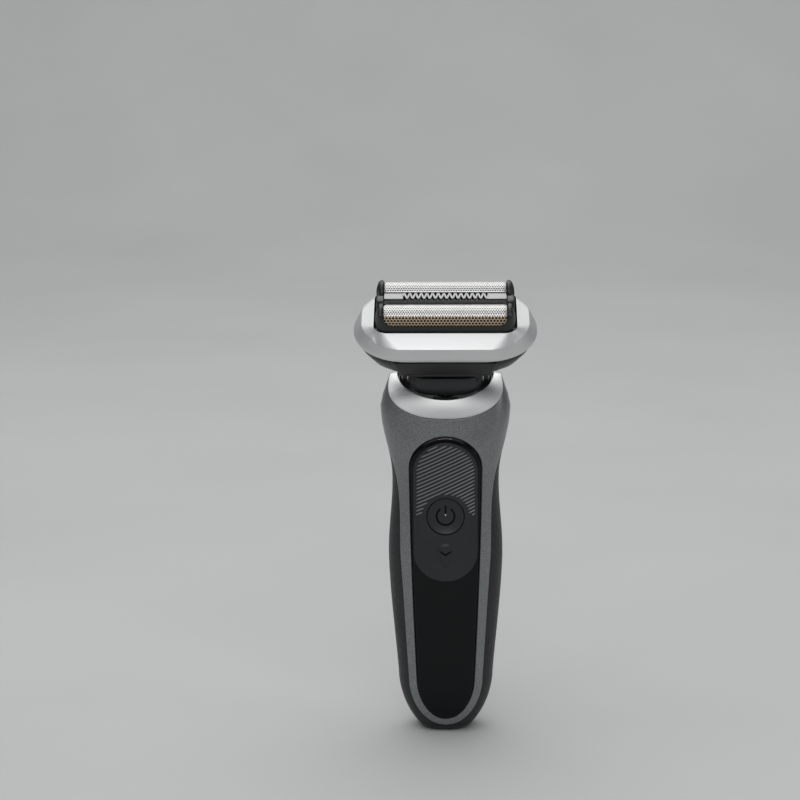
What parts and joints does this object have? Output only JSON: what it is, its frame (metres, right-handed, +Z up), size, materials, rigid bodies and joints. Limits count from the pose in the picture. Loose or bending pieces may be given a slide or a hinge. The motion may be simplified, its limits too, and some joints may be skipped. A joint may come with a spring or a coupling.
{
  "type": "electric shaver",
  "caption": "Hand-held foil shaver: tapered grip with thumb slide and power button, tilting click-on head with two spring foils and a middle trimmer.",
  "frame": {"origin": "middle of the power socket's mouth, in the plane of the flat foot that the handle stands on", "axes": "+Z up the handle, -Y towards the front with the power button, +X to the right as the front is seen"},
  "size_m": [0.062, 0.0461, 0.1599],
  "materials": {
    "grey_lacquer": "fine metallic grey lacquer, satin, with small sparkles",
    "black_grain": "soft black grip with a fine leathery grain",
    "black_plastic": "satin black moulded plastic",
    "dark_plastic": "matte dark grey moulded plastic",
    "charcoal_plastic": "matte charcoal with fine diagonal ribs",
    "gloss_black": "polished black window, mirror smooth",
    "satin_silver": "satin silver plating, soft highlights",
    "foil_steel": "bright thin steel with fine perforations",
    "steel": "plain machined steel",
    "black_rubber": "matte black rubber",
    "battery_wrap": "cell in a blue shrink sleeve",
    "green_board": "green circuit board laminate",
    "gold_contact": "gold-plated contact, polished",
    "white_plastic": "off-white low-friction plastic"
  },
  "bodies": {
    "handle": {"front_shell": "grey_lacquer", "rear_shell": "black_grain", "bottom_cap": "black_plastic", "cap_seal": "black_rubber", "front_panel": "gloss_black", "panel_carrier": "black_plastic", "collar_front": "satin_silver", "collar_back": "black_plastic", "neck_dish": "black_plastic", "pin_seal": "black_rubber", "chassis": "dark_plastic", "chassis_screws": "steel", "battery_cell": "battery_wrap", "circuit_board": "green_board", "display_board": "green_board", "push_switch": "steel", "motor_housing": "steel", "power_socket": "black_plastic", "socket_pins": "steel", "charging_contacts": "gold_contact"},
    "lock": {"lock_slider": "charcoal_plastic", "lock_link": "steel"},
    "power": {"power_button": "charcoal_plastic"},
    "armature": {"motor_armature": "steel"},
    "tilt": {"tilt_frame": "dark_plastic", "tilt_pins": "steel", "roll_pins": "steel"},
    "coupling": {"head_coupling": "dark_plastic"},
    "head": {"head_housing": "black_plastic", "head_ring": "satin_silver"},
    "release_left": {"release_button_left": "charcoal_plastic"},
    "release_right": {"release_button_right": "charcoal_plastic"},
    "bridge": {"drive_bridge": "white_plastic"},
    "cassette": {"cassette_frame": "black_plastic", "front_springs": "steel", "rear_springs": "steel", "trimmer_springs": "steel"},
    "front_unit": {"front_carrier": "black_plastic", "front_foil": "foil_steel"},
    "front_cutters": {"front_cutter": "steel"},
    "rear_unit": {"rear_carrier": "black_plastic", "rear_foil": "foil_steel"},
    "rear_cutters": {"rear_cutter": "steel"},
    "trimmer_unit": {"trimmer_guard": "black_plastic", "trimmer_comb": "foil_steel"},
    "trimmer_blades": {"trimmer_blade": "steel"}
  },
  "joints": [
    {"name": "head_pitch", "type": "hinge", "parent": "handle", "child": "tilt", "pos_m": [0, -0.0039, 0.1262], "axis": [1, 0, 0], "range_deg": [-20, 8], "stiffness_Nm_per_rad": 0.4},
    {"name": "head_roll", "type": "hinge", "parent": "tilt", "child": "coupling", "pos_m": [0, -0.0039, 0.1262], "axis": [0, -0.9063, -0.4226], "range_deg": [-8, 8], "stiffness_Nm_per_rad": 0.4},
    {"name": "head_release", "type": "slide", "parent": "coupling", "child": "head", "axis": [0, -0.4226, 0.9063], "range_m": [0, 0.025]},
    {"name": "cassette_release", "type": "slide", "parent": "head", "child": "cassette", "axis": [0, -0.4226, 0.9063], "range_m": [0, 0.02]},
    {"name": "front_float", "type": "slide", "parent": "cassette", "child": "front_unit", "axis": [0, 0.4226, -0.9063], "range_m": [0, 0.002], "stiffness_N_per_m": 250, "springref_m": -0.001, "deforming": ["front_springs"]},
    {"name": "rear_float", "type": "slide", "parent": "cassette", "child": "rear_unit", "axis": [0, 0.4226, -0.9063], "range_m": [0, 0.002], "stiffness_N_per_m": 250, "springref_m": -0.001, "deforming": ["rear_springs"]},
    {"name": "trimmer_float", "type": "slide", "parent": "cassette", "child": "trimmer_unit", "axis": [0, 0.4226, -0.9063], "range_m": [0, 0.002], "stiffness_N_per_m": 250, "springref_m": -0.001, "deforming": ["trimmer_springs"]},
    {"name": "release_left_press", "type": "slide", "parent": "head", "child": "release_left", "axis": [1, 0, 0], "range_m": [0, 0.0009], "stiffness_N_per_m": 300, "springref_m": -0.0005},
    {"name": "release_right_press", "type": "slide", "parent": "head", "child": "release_right", "axis": [-1, 0, 0], "range_m": [0, 0.0009], "stiffness_N_per_m": 300, "springref_m": -0.0005},
    {"name": "lock_slide", "type": "slide", "parent": "handle", "child": "lock", "axis": [0, 0.0267, -0.9996], "range_m": [0, 0.003]},
    {"name": "power_press", "type": "slide", "parent": "lock", "child": "power", "axis": [0, 1, 0], "range_m": [0, 0.0006], "stiffness_N_per_m": 300, "springref_m": -0.0005},
    {"name": "motor_stroke", "type": "slide", "parent": "handle", "child": "armature", "axis": [1, 0, 0], "range_m": [-0.001, 0.001], "stiffness_N_per_m": 400},
    {"name": "bridge_stroke", "type": "slide", "parent": "head", "child": "bridge", "axis": [1, 0, 0], "range_m": [-0.001, 0.001]},
    {"name": "front_cutter_stroke", "type": "slide", "parent": "front_unit", "child": "front_cutters", "axis": [1, 0, 0], "range_m": [-0.001, 0.001]},
    {"name": "rear_cutter_stroke", "type": "slide", "parent": "rear_unit", "child": "rear_cutters", "axis": [1, 0, 0], "range_m": [-0.001, 0.001]},
    {"name": "blade_stroke", "type": "slide", "parent": "trimmer_unit", "child": "trimmer_blades", "axis": [1, 0, 0], "range_m": [-0.001, 0.001]}
  ],
  "couplings": [
    {"joint": "bridge_stroke", "follows": "motor_stroke", "ratio": 1},
    {"joint": "front_cutter_stroke", "follows": "motor_stroke", "ratio": 1},
    {"joint": "rear_cutter_stroke", "follows": "motor_stroke", "ratio": 1},
    {"joint": "blade_stroke", "follows": "motor_stroke", "ratio": 1}
  ]
}
